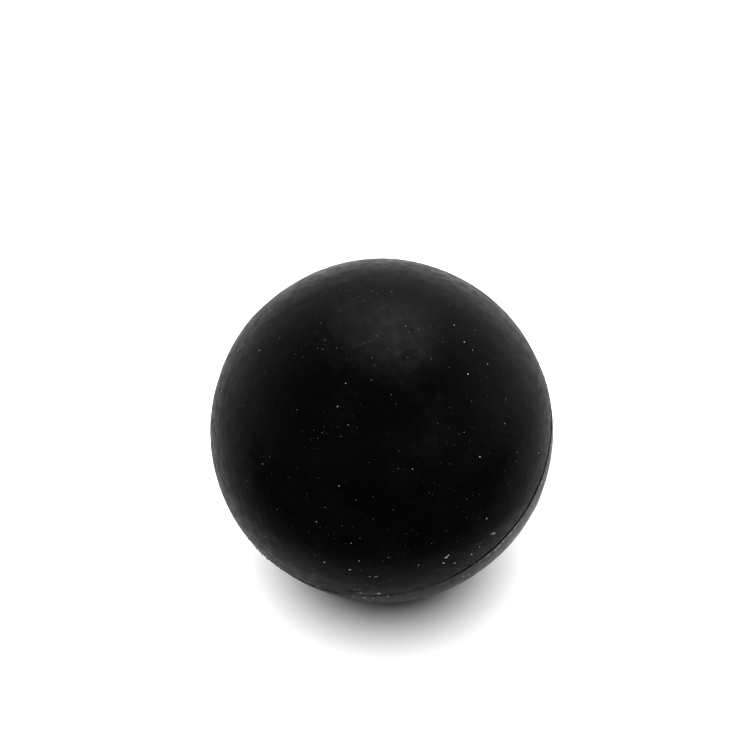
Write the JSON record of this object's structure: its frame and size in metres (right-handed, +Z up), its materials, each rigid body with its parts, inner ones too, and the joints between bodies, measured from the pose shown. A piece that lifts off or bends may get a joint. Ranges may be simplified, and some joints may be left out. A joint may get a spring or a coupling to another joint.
{
  "type": "case opening friction ball",
  "caption": "Hollow air-filled rubber ball that grips and turns screwed watch case backs by friction, with a moulded parting line and a self-sealing needle valve.",
  "frame": {"origin": "centre of the ball", "axes": "+Z up as the ball lies on a bench, -Y towards the front, where the plain pole leans; the mould axis leans 29 degrees from +Z towards -Y, with the plain pole up and the valve's pole down and back"},
  "size_m": [0.065, 0.065, 0.065],
  "materials": {
    "shell_rubber": "matte black moulded rubber with a fine grain, a faint dry bloom and specks of pale dust",
    "seam_rubber": "dull brownish-black rubber cement",
    "valve_rubber": "smooth satin black rubber",
    "core_rubber": "smooth soft black butyl rubber"
  },
  "bodies": {
    "root": {"upper_half_shell": "shell_rubber", "lower_half_shell": "shell_rubber", "seam_cement": "seam_rubber", "valve_housing": "valve_rubber", "valve_core": "core_rubber"}
  },
  "joints": []
}
